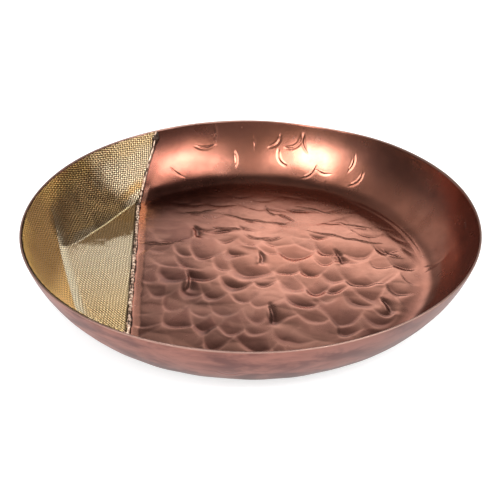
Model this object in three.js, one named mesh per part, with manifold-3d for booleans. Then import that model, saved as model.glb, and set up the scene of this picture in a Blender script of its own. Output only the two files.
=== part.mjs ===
// A shallow round dish raised from one copper sheet, with a strip of brass wire cloth lining one side of it.
// Millimetres, +Z up. The origin is the middle of the flat underside, and the lined side faces -X.
import * as THREE from "three";
import { mergeVertices } from "three/addons/utils/BufferGeometryUtils.js";
import Module from "manifold-3d";

const wasm = await Module();
wasm.setup();

// Dish
const rimRadius = 175; // to the outermost point of the lip
const dishHeight = 47; // underside to the top of the lip
const sheetThickness = 1.5;
const bendRadius = 21.5; // between base and wall, in the middle of the sheet
const wallFootAngle = THREE.MathUtils.degToRad(43); // the wall curves on, steeper towards the rim
const wallRimAngle = THREE.MathUtils.degToRad(73);

// Brass wire cloth
const clothThickness = 1.4; // two wires, one over the other
const clothRimDrop = 1.6; // from the end of the sheet's wall down to the edge of the cloth

// Seam along the straight edge of the cloth
const seamOffset = 92; // from the middle of the dish to the seam
const seamSkew = THREE.MathUtils.degToRad(2.5); // the seam isn't quite square to X
const seamBackTurn = THREE.MathUtils.degToRad(6.6); // how far its back end strays round the rim
const seamFrontTurn = THREE.MathUtils.degToRad(1.6);
const seamRimDrop = 2.2; // from the end of the sheet's wall down to the ends of the seam
const beadRadius = 1.1; // the beaded wire on the base and the front wall
const wallWireRadius = 0.85; // the plain wire on the back wall

// Solder: half its width, half its thickness and half its length along the seam
const bendSolder = new THREE.Vector3(2.6, 1.9, 3.4);
const rimSolder = new THREE.Vector3(3.8, 2.3, 5.2);
const rimSolderDrop = 5.4; // from the end of the sheet's wall down to the middle of the solder

// Fits
const contactGap = 0.3; // between pieces that touch

// Fineness
const turnSegments = 96;
const bendSteps = 5;
const wallSteps = 6;
const lipSteps = 4;
const baseSeamSteps = 26;
const beadSides = 10;

// The middle of the sheet: flat base, tight bend, then a wall that is part of a larger arc
const halfSheet = sheetThickness / 2;
const lipCentre = new THREE.Vector2(rimRadius - halfSheet, dishHeight - halfSheet);
const bendTop = new THREE.Vector2(
  bendRadius * Math.sin(wallFootAngle),
  halfSheet + bendRadius * (1 - Math.cos(wallFootAngle)),
);
const wallChordAngle = (wallFootAngle + wallRimAngle) / 2;
const wallRise = lipCentre.y - bendTop.y;
const wallRun = wallRise / Math.tan(wallChordAngle);
const baseRadius = lipCentre.x - wallRun - bendTop.x;
const wallArcRadius = Math.hypot(wallRise, wallRun) / 2 / Math.sin((wallRimAngle - wallFootAngle) / 2);
const bendCentre = new THREE.Vector2(baseRadius, halfSheet + bendRadius);
const wallArcCentre = new THREE.Vector2(
  baseRadius + bendTop.x - wallArcRadius * Math.sin(wallFootAngle),
  bendTop.y + wallArcRadius * Math.cos(wallFootAngle),
);

// Heights above the middle of the sheet, measured square to it
const clothUnderside = halfSheet + contactGap;
const clothTop = clothUnderside + clothThickness;

function onArc(centre, radius, angle) {
  return new THREE.Vector2(
    centre.x + radius * Math.sin(angle),
    centre.y - radius * Math.cos(angle),
  );
}

// Bend and wall from the base to the rim, lifted off the middle of the sheet towards the inside
function wallLine(lift, dropFromRim = 0) {
  const points = [];
  for (let i = 0; i <= bendSteps; i++) {
    points.push(onArc(bendCentre, bendRadius - lift, (wallFootAngle * i) / bendSteps));
  }
  const topAngle = wallRimAngle - dropFromRim / wallArcRadius;
  for (let i = 1; i <= wallSteps; i++) {
    const angle = wallFootAngle + ((topAngle - wallFootAngle) * i) / wallSteps;
    points.push(onArc(wallArcCentre, wallArcRadius - lift, angle));
  }
  return points;
}

function turned(profile) {
  return new THREE.LatheGeometry(profile, turnSegments).rotateX(Math.PI / 2);
}

function toSolid(geometry) {
  const bare = geometry.clone();
  bare.deleteAttribute("normal");
  bare.deleteAttribute("uv");
  const merged = mergeVertices(bare, 1e-4);
  return new wasm.Manifold(
    new wasm.Mesh({
      numProp: 3,
      vertProperties: merged.attributes.position.array,
      triVerts: new Uint32Array(merged.index.array),
    }),
  );
}

function toGeometry(solid) {
  const mesh = solid.getMesh();
  const geometry = new THREE.BufferGeometry();
  geometry.setAttribute("position", new THREE.BufferAttribute(mesh.vertProperties, 3));
  geometry.setIndex(new THREE.BufferAttribute(mesh.triVerts, 1));
  const faceted = geometry.toNonIndexed();
  faceted.computeVertexNormals();
  return faceted;
}

// The shell: underside, outside wall, rounded lip, inside wall, inside of the base
function dishGeometry() {
  const lip = [];
  for (let i = 1; i < lipSteps; i++) {
    lip.push(onArc(lipCentre, halfSheet, wallRimAngle + (Math.PI * i) / lipSteps));
  }
  return turned([
    new THREE.Vector2(0, 0),
    ...wallLine(-halfSheet),
    ...lip,
    ...wallLine(halfSheet).reverse(),
    new THREE.Vector2(0, sheetThickness),
  ]);
}

// Everything inside the dish, clear of the sheet
function hollowSolid() {
  return toSolid(
    turned([
      new THREE.Vector2(0, halfSheet + clothUnderside),
      ...wallLine(clothUnderside),
      new THREE.Vector2(0, dishHeight),
    ]),
  );
}

// Angle round the dish at which the straight line of the seam crosses a circle
function seamCrossing(radius, side) {
  return side * (Math.PI - Math.acos(seamOffset / radius)) + seamSkew;
}

const seamEnds = {
  front: { side: -1, rimTurn: seamFrontTurn },
  back: { side: 1, rimTurn: -seamBackTurn },
};

// Where the seam runs on one wall: radius, height and angle round the dish, from the base to the rim
function seamOnWall({ side, rimTurn }, lift, dropFromRim) {
  const line = wallLine(lift, dropFromRim);
  const foot = seamCrossing(baseRadius, side);
  const rim = seamCrossing(rimRadius, side) + rimTurn;
  return line.map((point) => {
    const climb = (point.x - baseRadius) / (rimRadius - baseRadius);
    const angle = foot + (rim - foot) * climb;
    return new THREE.Vector3(point.x * Math.cos(angle), point.x * Math.sin(angle), point.y);
  });
}

function seamOnBase(lift) {
  const [front, back] = [seamEnds.front, seamEnds.back].map((end) => {
    const angle = seamCrossing(baseRadius, end.side);
    const height = halfSheet + lift;
    return new THREE.Vector3(baseRadius * Math.cos(angle), baseRadius * Math.sin(angle), height);
  });
  const points = [];
  for (let i = 1; i < baseSeamSteps; i++) {
    points.push(front.clone().lerp(back, i / baseSeamSteps));
  }
  return points;
}

function wireGeometry(points, radius, steps) {
  const section = new THREE.Shape();
  section.setFromPoints(
    Array.from({ length: beadSides }, (_, i) => {
      const angle = (2 * Math.PI * i) / beadSides;
      return new THREE.Vector2(radius * Math.cos(angle), radius * Math.sin(angle));
    }),
  );
  return new THREE.ExtrudeGeometry(section, {
    steps,
    curveSegments: 1,
    extrudePath: new THREE.CatmullRomCurve3(points, false, "centripetal"),
  });
}

// A lump of solder lying along the back wall's seam: width, thickness and length follow the wall there
function solderSolid(size, at, along, grow = 0) {
  const inward = new THREE.Vector3(-at.x, -at.y, 0).normalize();
  const across = along.clone().cross(inward).normalize();
  const off = along.clone().cross(across);
  const lump = new THREE.SphereGeometry(1, 20, 12);
  lump.scale(size.x + grow, size.y + grow, size.z + grow);
  lump.applyMatrix4(new THREE.Matrix4().makeBasis(across, off, along));
  lump.translate(at.x, at.y, at.z);
  return toSolid(lump);
}

// The lined side of the seam, as a tall block cut along the cloth's straight edge
function linedSideSolid() {
  const overRun = rimRadius - clothUnderside;
  const plan = [
    ...seamOnWall(seamEnds.front, clothUnderside, 0).reverse(),
    ...seamOnBase(clothUnderside),
    ...seamOnWall(seamEnds.back, clothUnderside, 0),
  ].map((point) => new THREE.Vector2(point.x, point.y));
  const last = plan.length - 1;
  plan.unshift(plan[0].clone().multiplyScalar(2).sub(plan[1]));
  plan.push(plan[last + 1].clone().multiplyScalar(2).sub(plan[last]));
  const edge = plan.map((point, i) => {
    const before = plan[Math.max(i - 1, 0)];
    const after = plan[Math.min(i + 1, plan.length - 1)];
    const along = after.clone().sub(before).normalize();
    const away = new THREE.Vector2(-along.y, along.x);
    return point.clone().addScaledVector(away, beadRadius + contactGap);
  });
  const outline = new THREE.Shape([
    ...edge,
    new THREE.Vector2(-2 * overRun, 2 * overRun),
    new THREE.Vector2(-2 * overRun, -2 * overRun),
  ]);
  const block = new THREE.ExtrudeGeometry(outline, { depth: 2 * dishHeight, bevelEnabled: false });
  return toSolid(block.translate(0, 0, -dishHeight / 2));
}

function clothSolid() {
  const shell = turned([
    new THREE.Vector2(0, halfSheet + clothUnderside),
    ...wallLine(clothUnderside, clothRimDrop),
    ...wallLine(clothTop, clothRimDrop).reverse(),
    new THREE.Vector2(0, halfSheet + clothTop),
  ]);
  return toSolid(shell).intersect(linedSideSolid());
}

const beadLift = clothUnderside + beadRadius;
const wireLift = clothUnderside + wallWireRadius;
const backWallSeam = seamOnWall(seamEnds.back, wireLift, seamRimDrop);

const bendSolderAt = backWallSeam[1];
const bendSolderAlong = backWallSeam[2].clone().sub(backWallSeam[0]).normalize();
const rimSolderPath = seamOnWall(seamEnds.back, clothUnderside, rimSolderDrop);
const rimSolderAt = rimSolderPath.at(-1);
const rimSolderAlong = rimSolderAt.clone().sub(rimSolderPath.at(-2)).normalize();
const solderRoom = [
  solderSolid(bendSolder, bendSolderAt, bendSolderAlong, contactGap),
  solderSolid(rimSolder, rimSolderAt, rimSolderAlong, contactGap),
];

function clearOfSolder(solid) {
  return solderRoom.reduce((rest, room) => rest.subtract(room), solid);
}

const frontToBend = [
  ...seamOnWall(seamEnds.front, beadLift, seamRimDrop).reverse(),
  ...seamOnBase(beadLift),
  seamOnWall(seamEnds.back, beadLift, 0)[0],
];
const hollow = hollowSolid();

const copper = { color: 0xa9694f, roughness: 0.42, metalness: 1 };
const brass = { color: 0xb8964f, roughness: 0.38, metalness: 1 };
const brightSolder = { color: 0xc9b3a0, roughness: 0.45, metalness: 1 };
const burntSolder = { color: 0x4a3c36, roughness: 0.7, metalness: 0.8 };

const pieces = [
  ["copper_dish", dishGeometry(), copper],
  ["brass_wire_cloth", toGeometry(clearOfSolder(clothSolid())), brass],
  [
    "base_seam_bead",
    toGeometry(clearOfSolder(toSolid(wireGeometry(frontToBend, beadRadius, 80)))),
    brightSolder,
  ],
  [
    "back_wall_seam_wire",
    toGeometry(clearOfSolder(toSolid(wireGeometry(backWallSeam.slice(1), wallWireRadius, 24)))),
    brightSolder,
  ],
  [
    "bend_solder",
    toGeometry(solderSolid(bendSolder, bendSolderAt, bendSolderAlong).intersect(hollow)),
    burntSolder,
  ],
  [
    "rim_solder",
    toGeometry(solderSolid(rimSolder, rimSolderAt, rimSolderAlong).intersect(hollow)),
    burntSolder,
  ],
];

const tray = new THREE.Group();
for (const [name, geometry, finish] of pieces) {
  const piece = new THREE.Mesh(geometry, new THREE.MeshStandardMaterial(finish));
  piece.name = name;
  tray.add(piece);
}

export default tray;
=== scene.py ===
import math
import bpy
import numpy as np
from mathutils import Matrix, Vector, noise


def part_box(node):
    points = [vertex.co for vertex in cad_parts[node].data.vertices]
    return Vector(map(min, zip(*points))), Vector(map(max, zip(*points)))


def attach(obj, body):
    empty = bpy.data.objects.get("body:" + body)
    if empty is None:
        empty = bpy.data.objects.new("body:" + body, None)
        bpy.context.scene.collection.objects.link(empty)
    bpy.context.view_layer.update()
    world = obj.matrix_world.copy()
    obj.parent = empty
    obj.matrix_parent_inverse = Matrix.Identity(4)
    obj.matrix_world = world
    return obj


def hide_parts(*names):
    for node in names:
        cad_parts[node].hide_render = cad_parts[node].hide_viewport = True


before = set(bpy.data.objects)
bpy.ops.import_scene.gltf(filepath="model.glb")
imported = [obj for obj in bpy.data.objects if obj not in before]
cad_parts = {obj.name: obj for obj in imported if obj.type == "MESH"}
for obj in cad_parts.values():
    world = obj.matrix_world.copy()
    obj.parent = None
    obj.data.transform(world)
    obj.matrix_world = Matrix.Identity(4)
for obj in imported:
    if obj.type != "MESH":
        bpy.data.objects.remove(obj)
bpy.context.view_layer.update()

dishLow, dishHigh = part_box("copper_dish")

# One sheet of copper: flat base, tight bend, then a wall that curves on to the lip. Metres and radians.
dish = {
    "rimRadius": (dishHigh[0] - dishLow[0]) / 2,
    "height": dishHigh[2],
    "sheet": 0.0015,
    "bendRadius": 0.0215,
    "footAngle": math.radians(43),
    "rimAngle": math.radians(73),
}

# The line where the wire cloth ends, as the frame has it
seam = {
    "offset": 0.092,
    "skew": math.radians(2.5),
    "backTurn": math.radians(6.6),
    "frontTurn": math.radians(1.6),
    "rimDrop": 0.0022,
    "beadRadius": 0.0011,
    "wireRadius": 0.00085,
}


def dishCurve(shape):
    half = shape["sheet"] / 2
    lipX, lipZ = shape["rimRadius"] - half, shape["height"] - half
    foot, rim, bend = shape["footAngle"], shape["rimAngle"], shape["bendRadius"]
    topX, topZ = bend * math.sin(foot), half + bend * (1 - math.cos(foot))
    rise = lipZ - topZ
    run = rise / math.tan((foot + rim) / 2)
    base = lipX - run - topX
    arc = math.hypot(rise, run) / 2 / math.sin((rim - foot) / 2)
    return {
        "base": base,
        "bendCentre": (base, half + bend),
        "arc": arc,
        "arcCentre": (base + topX - arc * math.sin(foot), topZ + arc * math.cos(foot)),
        "lipCentre": (lipX, lipZ),
    }


curve = dishCurve(dish)
baseRadius = curve["base"]


# Bend and wall from the base up, lifted off the middle of the sheet: radius, height and slope of each point
def wallLine(lift, bendSteps, wallSteps):
    foot, rim = dish["footAngle"], dish["rimAngle"]
    bendAngles = np.linspace(0, foot, bendSteps + 1)
    wallAngles = np.linspace(foot, rim, wallSteps + 1)[1:]
    bendX, bendZ = curve["bendCentre"]
    arcX, arcZ = curve["arcCentre"]
    bend = dish["bendRadius"] - lift
    arc = curve["arc"] - lift
    radius = np.concatenate([bendX + bend * np.sin(bendAngles), arcX + arc * np.sin(wallAngles)])
    height = np.concatenate([bendZ - bend * np.cos(bendAngles), arcZ - arc * np.cos(wallAngles)])
    return radius, height, np.concatenate([bendAngles, wallAngles])


def smooth(x, low, high):
    t = np.clip((x - low) / (high - low), 0, 1)
    return t * t * (3 - 2 * t)


# Angle round the dish at which the straight line of the seam crosses a circle
def seamCrossing(radius, side):
    return side * (math.pi - np.arccos(seam["offset"] / radius)) + seam["skew"]


def seamAngle(radius, side):
    turn = -seam["backTurn"] if side > 0 else seam["frontTurn"]
    foot = seamCrossing(baseRadius, side)
    rim = seamCrossing(dish["rimRadius"], side) + turn
    return foot + (rim - foot) * (radius - baseRadius) / (dish["rimRadius"] - baseRadius)


# How far a point of the dish lies past the seam, towards the bare copper
def pastSeam(x, y):
    radius = np.hypot(x, y)
    onBase = x * math.cos(seam["skew"]) + y * math.sin(seam["skew"]) + seam["offset"]
    around = np.abs(np.arctan2(y, x))
    edge = np.where(y > 0, seamAngle(radius, 1), -seamAngle(radius, -1))
    return np.where(radius < baseRadius, onBase, (edge - around) * radius)


# A smooth field of random bumps that is the same each run, for points given as arrays
def waves(x, y, size, seed, layers=14):
    random = np.random.default_rng(seed)
    total = np.zeros_like(x)
    for layer in range(layers):
        angle = random.uniform(0, 2 * math.pi)
        length = size * random.uniform(0.7, 1.6)
        phase = random.uniform(0, 2 * math.pi)
        total += np.sin(2 * math.pi * (x * math.cos(angle) + y * math.sin(angle)) / length + phase)
    return total / math.sqrt(layers)


# The camera's distance is from the middle of the rim
stageSetup = {
    "cameraDistance": 0.875,
    "cameraElevation": math.radians(29.69),
    "cameraPitch": math.radians(31.38),
    "cameraSide": -0.0004,
    "lens": 82.1,
    "floorRadius": 8.0,
    "floorHeight": -0.0002,
}


def addObject(name, data):
    piece = bpy.data.objects.new(name, data)
    bpy.context.collection.objects.link(piece)
    return piece


def makeCamera(setup):
    data = bpy.data.cameras.new("camera")
    data.lens = setup["lens"]
    data.sensor_width = 36
    data.clip_start, data.clip_end = 0.01, 50
    camera = addObject("camera", data)
    elevation, distance = setup["cameraElevation"], setup["cameraDistance"]
    camera.location = (
        setup["cameraSide"],
        -distance * math.cos(elevation),
        distance * math.sin(elevation) + dish["height"],
    )
    camera.rotation_euler = (math.pi / 2 - setup["cameraPitch"], 0, 0)
    bpy.context.scene.camera = camera


def newMaterial(name):
    material = bpy.data.materials.new(name)
    material.use_nodes = True
    material.node_tree.nodes.clear()
    return material, material.node_tree


class Nodes:
    def __init__(self, tree):
        self.tree = tree

    def add(self, kind, inputs=None, **settings):
        node = self.tree.nodes.new(kind)
        for key, value in settings.items():
            setattr(node, key, value)
        for key, value in (inputs or {}).items():
            socket = node.inputs[key]
            if isinstance(value, bpy.types.NodeSocket):
                self.tree.links.new(value, socket)
            else:
                socket.default_value = value
        return node

    def math(self, operation, a, b=0.0, clamp=False):
        return self.add("ShaderNodeMath", {0: a, 1: b}, operation=operation, use_clamp=clamp).outputs[0]

    def plus(self, a, b, clamp=False):
        return self.math("ADD", a, b, clamp)

    def minus(self, a, b, clamp=False):
        return self.math("SUBTRACT", a, b, clamp)

    def times(self, a, b, clamp=False):
        return self.math("MULTIPLY", a, b, clamp)

    def addProduct(self, a, b, c):
        return self.add("ShaderNodeMath", {0: a, 1: b, 2: c}, operation="MULTIPLY_ADD").outputs[0]

    def length(self, a, b):
        return self.math("SQRT", self.addProduct(a, a, self.times(b, b)))

    def mix(self, factor, a, b):
        node = self.add("ShaderNodeMix", data_type="RGBA")
        for socket, value in zip((node.inputs[0], node.inputs[6], node.inputs[7]), (factor, a, b)):
            if isinstance(value, bpy.types.NodeSocket):
                self.tree.links.new(value, socket)
            else:
                socket.default_value = value
        return node.outputs[2]

    def step(self, value, low, high, outLow=0.0, outHigh=1.0):
        inputs = {0: value, 1: low, 2: high, 3: outLow, 4: outHigh}
        return self.add("ShaderNodeMapRange", inputs, interpolation_type="SMOOTHSTEP").outputs[0]

    def noise(self, where, scale, detail=3.0, roughness=0.55, distortion=0.0):
        inputs = {"Vector": where, "Scale": scale, "Detail": detail,
                  "Roughness": roughness, "Distortion": distortion}
        return self.add("ShaderNodeTexNoise", inputs).outputs["Fac"]

    def attribute(self, name):
        return self.add("ShaderNodeAttribute", attribute_name=name).outputs["Fac"]


def addArea(name, where, aim, size, power):
    data = bpy.data.lights.new(name, "AREA")
    data.shape = "RECTANGLE"
    data.size, data.size_y = size
    data.energy = power
    light = bpy.data.objects.new(name, data)
    light.location = where
    light.rotation_euler = (Vector(aim) - Vector(where)).to_track_quat("-Z", "Y").to_euler()
    bpy.context.collection.objects.link(light)


# A dark studio with two softboxes at the front and a pale patch of wall low behind
lighting = {
    "leftAt": (-0.88, -0.96, 1.30),
    "leftPower": 14,
    "leftCoreAt": (-0.86, -0.94, 1.27),
    "leftCorePower": 4.5,
    "rightAt": (1.02, -0.84, 1.32),
    "rightPower": 17,
    "rightCoreAt": (1.00, -0.82, 1.29),
    "rightCorePower": 9,
    "fillPower": 88,
    "patch": 1.66,
    "patchAim": Vector((0.06, 0.87, 0.425)),
    "ceiling": 0.095,
    "front": 0.21,
    "sideGlow": 0.26,
    "sideAim": Vector((-0.72, 0.56, 0.40)),
    "otherAim": Vector((0.80, 0.35, 0.42)),
    "topAim": Vector((-0.06, -0.48, 0.88)),
}


def makeLights(setup):
    addArea("leftSoftbox", setup["leftAt"], (0, 0, 0.02), (1.00, 1.05), setup["leftPower"])
    addArea("rightSoftbox", setup["rightAt"], (0, 0, 0.02), (1.25, 1.10), setup["rightPower"])
    addArea("leftCore", setup["leftCoreAt"], (0, 0, 0.02), (0.40, 0.46), setup["leftCorePower"])
    addArea("rightCore", setup["rightCoreAt"], (0, 0, 0.02), (0.46, 0.46), setup["rightCorePower"])
    addArea("floorFill", (0, 0.3, 2.4), (0, 0, 0), (3.0, 3.0), setup["fillPower"])
    bpy.data.objects["floorFill"].visible_glossy = False
    world = bpy.data.worlds.new("studio")
    world.use_nodes = True
    bpy.context.scene.world = world
    tree = world.node_tree
    tree.nodes.clear()
    nodes = Nodes(tree)
    where = nodes.add("ShaderNodeTexCoord").outputs["Generated"]
    split = nodes.add("ShaderNodeSeparateXYZ", {0: where}).outputs
    aim = setup["patchAim"].normalized()
    away = nodes.add("ShaderNodeVectorMath", {0: where, 1: tuple(aim)}, operation="DISTANCE").outputs["Value"]
    patch = nodes.step(away, 0.08, 0.31, setup["patch"], 0.0)
    ceiling = nodes.step(split["Z"], 0.80, 0.985, setup["front"], setup["ceiling"])
    strength = nodes.plus(patch, ceiling)
    for side in ("sideAim", "otherAim", "topAim"):
        aim = setup[side].normalized()
        off = nodes.add("ShaderNodeVectorMath", {0: where, 1: tuple(aim)}, operation="DISTANCE")
        glow = nodes.step(off.outputs["Value"], 0.15, 0.62, setup["sideGlow"], 0.0)
        strength = nodes.plus(strength, glow)
    background = nodes.add("ShaderNodeBackground", {"Color": (1, 1, 1, 1), "Strength": strength})
    nodes.add("ShaderNodeOutputWorld", {"Surface": background.outputs[0]})
    bpy.context.scene.view_settings.view_transform = "Standard"


def makeFloor(setup):
    count = 96
    angles = np.arange(count) * 2 * math.pi / count
    ring = np.stack([np.cos(angles), np.sin(angles), np.zeros(count)], axis=1) * setup["floorRadius"]
    ring[:, 2] = setup["floorHeight"]
    data = bpy.data.meshes.new("floor")
    data.from_pydata(ring.tolist(), [], [tuple(range(count))])
    floor = addObject("floor", data)
    material, tree = newMaterial("paleFloor")
    nodes = Nodes(tree)
    shader = nodes.add("ShaderNodeBsdfPrincipled", {
        "Base Color": (0.45, 0.45, 0.45, 1), "Roughness": 0.9,
        "Emission Color": (1, 1, 1, 1), "Emission Strength": 0.72})
    nodes.add("ShaderNodeOutputMaterial", {"Surface": shader.outputs[0]})
    data.materials.append(material)


makeCamera(stageSetup)
makeLights(lighting)
makeFloor(stageSetup)
print("stage ready")

# Rows of hammer marks across the base, each deepest near its front left edge, where its wall is steepest
hammering = {
    "rowPitch": 0.0205,
    "markPitch": 0.0215,
    "rowTilt": math.radians(-7),
    "depth": 0.00142,
    "deepSide": math.radians(-103),
    "reach": 0.0235,
    "cornerCurve": 76.0,
    "wallSlope": 0.38,
    "soften": 0.00020,
    "jitter": 0.0033,
    "drift": 0.0024,
    "seed": 11,
}

# Single deep blows with the hammer's corner: where the cut edge starts and ends, and how far the dent spreads
cornerBlows = [
    {"from": (-0.0470, 0.0620), "to": (-0.0450, 0.0460), "spread": 0.0040},
    {"from": (-0.0480, -0.0130), "to": (-0.0485, -0.0340), "spread": 0.0052},
    {"from": (0.0075, 0.0200), "to": (0.0075, 0.0030), "spread": 0.0036},
    {"from": (0.0680, 0.0230), "to": (0.0720, 0.0020), "spread": 0.0046},
    {"from": (0.0140, -0.0550), "to": (0.0150, -0.0790), "spread": 0.0052},
    {"from": (0.0985, -0.0470), "to": (0.1030, -0.0640), "spread": 0.0058},
]


# Each blow lands with the hammer tilted: the face fades out at the back and digs in along a curved front edge
def hammerMarks(x, y):
    h = hammering
    random = np.random.default_rng(h["seed"])
    cosTilt, sinTilt = math.cos(h["rowTilt"]), math.sin(h["rowTilt"])
    x = x + waves(x, y, 0.06, 71) * h["drift"]
    y = y + waves(x, y, 0.05, 73) * h["drift"]
    y = y + waves(x, y, 0.017, 79) * 0.0007
    total = np.zeros_like(x)
    nearest = np.full_like(x, 1e9)
    second = np.full_like(x, 1e9)
    rows = int(baseRadius / h["rowPitch"]) + 3
    marks = int(baseRadius / h["markPitch"]) + 3
    for row in range(-rows, rows + 1):
        for mark in range(-marks, marks + 1):
            u = (mark + 0.5 * (row % 2) + 0.12 * math.sin(row * 2.1)) * h["markPitch"]
            v = row * h["rowPitch"] + 0.0022 * math.sin(mark * 1.3 + row)
            u += random.normal(0, h["jitter"])
            v += random.normal(0, h["jitter"])
            size = random.uniform(0.85, 1.2)
            depth = h["depth"] * random.uniform(0.4, 1.15)
            turn = h["deepSide"] + random.normal(0, math.radians(13))
            sharp = random.uniform(1.5, 2.4)
            lift = random.normal(0, 0.00014)
            bend = random.uniform(0.5, 1.7)
            steep = h["wallSlope"] * random.uniform(0.4, 1.15)
            centreX = u * cosTilt - v * sinTilt
            centreY = u * sinTilt + v * cosTilt
            if math.hypot(centreX, centreY) > baseRadius + 0.02:
                continue
            # further back the blows run together along each row, and only their edges still show
            back = float(smooth(np.array(centreY), 0.02, 0.075))
            front = float(smooth(np.array(-centreY), 0.02, 0.085))
            aside = float(smooth(np.array(-centreX), 0.02, 0.075))
            calm = 1 - 0.42 * max(front, aside)
            depth *= (1 - 0.45 * back) * calm
            steep *= calm
            sharp += 4.5 * back
            curveHere = h["cornerCurve"] * bend * (1 - 0.7 * back) / size
            reach = h["reach"] * size * (1 - 0.2 * back)
            dx, dy = x - centreX, y - centreY
            q = dx * math.cos(turn) + dy * math.sin(turn)
            p = -dx * math.sin(turn) + dy * math.cos(turn)
            edge = 0.010 - curveHere * p * p
            fall = np.clip((np.minimum(q, edge) + reach - 0.010) / reach, 0, 1)
            slopeHere = steep * (0.12 + 0.88 * np.exp(-(p / 0.0120) ** 2))
            bowl = lift - depth * fall ** sharp + slopeHere * np.maximum(q - edge, 0)
            bowl += 0.10 * np.maximum(-q - reach, 0)
            total += np.exp(-np.clip(bowl / h["soften"], -60, 60))
            second = np.minimum(second, np.maximum(nearest, bowl))
            nearest = np.minimum(nearest, bowl)
    height = -h["soften"] * np.log(np.maximum(total, 1e-26))
    return np.minimum(height, h["depth"] * 0.6), second - nearest


def cornerMarks(x, y):
    height = np.zeros_like(x)
    for blow in cornerBlows:
        start, end = np.array(blow["from"]), np.array(blow["to"])
        length = np.linalg.norm(end - start)
        along = (end - start) / length
        dx, dy = x - start[0], y - start[1]
        q = (dx * along[0] + dy * along[1]) / length
        p = -(dx * along[1] - dy * along[0])
        p = p - 0.0012 * np.sin(3.0 * q)
        spread = blow["spread"] * (0.35 + 0.75 * np.clip(q, 0, 1))
        window = smooth(q + p / 0.03, -0.20, 0.20) * (1 - smooth(q - p / 0.04, 0.80, 1.15))
        edge = smooth(p, -0.0015, 0.0008)
        dent = edge * np.exp(-(np.maximum(p, 0) / spread) ** 1.4) * (1.15 - 0.3 * np.clip(q, 0, 1))
        height -= 0.00115 * dent * window
        lip = np.exp(-((p + 0.0024) / 0.0016) ** 2) * smooth(q, 0.1, 0.5) * (1 - smooth(q, 0.85, 1.1))
        height += 0.00025 * lip
    return height


# The wall is beaten thin and smooth, in soft waves. turnRadius turns angles round it into lengths.
wallRelief = {
    "turnRadius": 0.158,
    "broadWave": 0.045,
    "broadHeight": 0.00034,
    "fineWave": 0.019,
    "fineHeight": 0.00014,
    "footRidge": 0.0004,
    "scratchLip": 0.00007,
    "scratchDepth": 0.00008,
}

# Curved scratches left by the hammer's edge on the wall: angle round the dish in degrees, way up the wall,
# radius, and the part of the circle that shows, in degrees from the upward direction
wallArcs = [
    {"around": 104, "up": 0.051, "radius": 0.0120, "from": 140, "to": 225},
    {"around": 103, "up": 0.052, "radius": 0.0065, "from": 60, "to": 130},
    {"around": 84, "up": 0.047, "radius": 0.0078, "from": 70, "to": 190},
    {"around": 78, "up": 0.049, "radius": 0.0098, "from": 65, "to": 205},
    {"around": 78, "up": 0.033, "radius": 0.0080, "from": 175, "to": 300},
    {"around": 72, "up": 0.026, "radius": 0.0100, "from": 80, "to": 185},
    {"around": 70, "up": 0.047, "radius": 0.0100, "from": 205, "to": 300},
    {"around": 61, "up": 0.014, "radius": 0.0055, "from": 170, "to": 290},
    {"around": 98, "up": 0.028, "radius": 0.0090, "from": 60, "to": 120},
    {"around": 65, "up": 0.032, "radius": 0.0095, "from": 150, "to": 215},
    {"around": 112, "up": 0.030, "radius": 0.0110, "from": 200, "to": 250},
    {"around": 91, "up": 0.041, "radius": 0.0060, "from": 60, "to": 110},
    {"around": 60, "up": 0.036, "radius": 0.0100, "from": 60, "to": 130},
    {"around": 55, "up": 0.027, "radius": 0.0080, "from": 60, "to": 180},
    {"around": 3, "up": 0.050, "radius": 0.0045, "from": 150, "to": 260},
    {"around": -4, "up": 0.011, "radius": 0.0070, "from": 190, "to": 300},
    {"around": -60, "up": 0.030, "radius": 0.0090, "from": 60, "to": 190},
    {"around": -95, "up": 0.040, "radius": 0.0080, "from": 100, "to": 240},
]


# How far up the wall a point is, from its share of the way in plan from the base's edge to the rim
def wallRise(share):
    return 0.0456 * share + 0.0170 * share ** 4


def wallScratches(angle, up):
    total = np.zeros_like(angle)
    for arc in wallArcs:
        around = np.angle(np.exp(1j * (angle - math.radians(arc["around"])))) * wallRelief["turnRadius"]
        rise = up - arc["up"]
        direction = np.degrees(np.arctan2(-around, rise)) % 360
        middle, half = (arc["from"] + arc["to"]) / 2, (arc["to"] - arc["from"]) / 2
        off = np.abs((direction - middle + 180) % 360 - 180) / half
        d = np.hypot(around, rise) - arc["radius"]
        show = 1 - smooth(off, 0.6, 1.1)
        lip = wallRelief["scratchLip"] * np.exp(-((d + 0.0006) / 0.0009) ** 2)
        dent = wallRelief["scratchDepth"] * smooth(-d, -0.0002, 0.0010) * np.exp(-np.maximum(-d, 0) / 0.0040)
        total += show * (lip - dent)
    return total


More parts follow.
